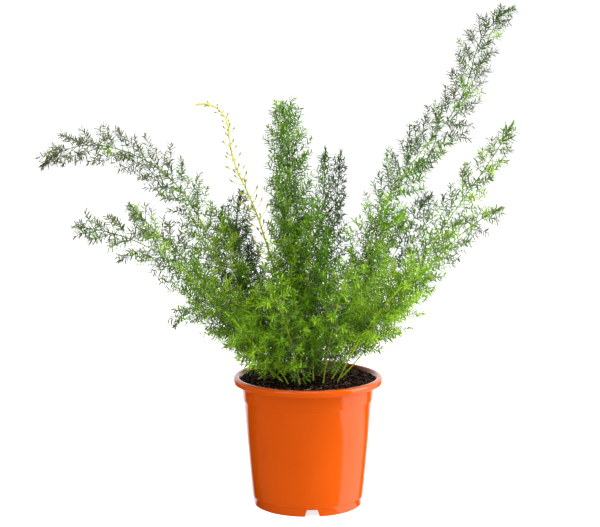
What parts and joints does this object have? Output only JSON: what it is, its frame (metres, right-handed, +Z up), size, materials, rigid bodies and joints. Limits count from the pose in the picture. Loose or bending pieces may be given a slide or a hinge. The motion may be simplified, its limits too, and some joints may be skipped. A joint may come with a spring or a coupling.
{
  "type": "potted foxtail fern",
  "caption": "Foxtail asparagus fern with loose needled plumes fanning out of moist soil in a tapered orange nursery pot",
  "frame": {"origin": "on the ground, at the middle of the flat central foot under the pot, on the pot's axis", "axes": "+Z up along the pot's axis, +X to the right of the front view, -Y towards the viewer in front, where a skirt notch shows"},
  "size_m": [0.5442, 0.3065, 0.5679],
  "materials": {
    "pot_plastic": "glossy moulded orange polypropylene",
    "peat_soil": "matt, moist, crumbly peat",
    "foliage_light": "satin, thin living leaf",
    "foliage_mid": "satin, thin living leaf",
    "foliage_dark": "satin, thin living leaf",
    "young_growth": "satin, tender new stem"
  },
  "bodies": {
    "root": {"pot": "pot_plastic", "soil": "peat_soil", "right_tall_frond": "foliage_mid", "right_middle_frond": "foliage_light", "right_low_frond": "foliage_light", "right_inner_frond": "foliage_dark", "centre_tall_frond": "foliage_mid", "centre_right_frond": "foliage_dark", "centre_back_frond": "foliage_dark", "centre_front_frond": "foliage_dark", "left_arching_frond": "foliage_light", "left_low_frond": "foliage_light", "left_middle_frond": "foliage_light", "left_inner_frond": "foliage_dark", "left_inner_low_frond": "foliage_mid", "left_drooping_frond": "foliage_mid", "front_left_frond": "foliage_mid", "front_right_frond": "foliage_mid", "front_side_frond": "foliage_mid", "back_centre_frond": "foliage_dark", "back_left_frond": "foliage_dark", "back_right_frond": "foliage_dark", "young_shoot": "young_growth"}
  },
  "joints": []
}
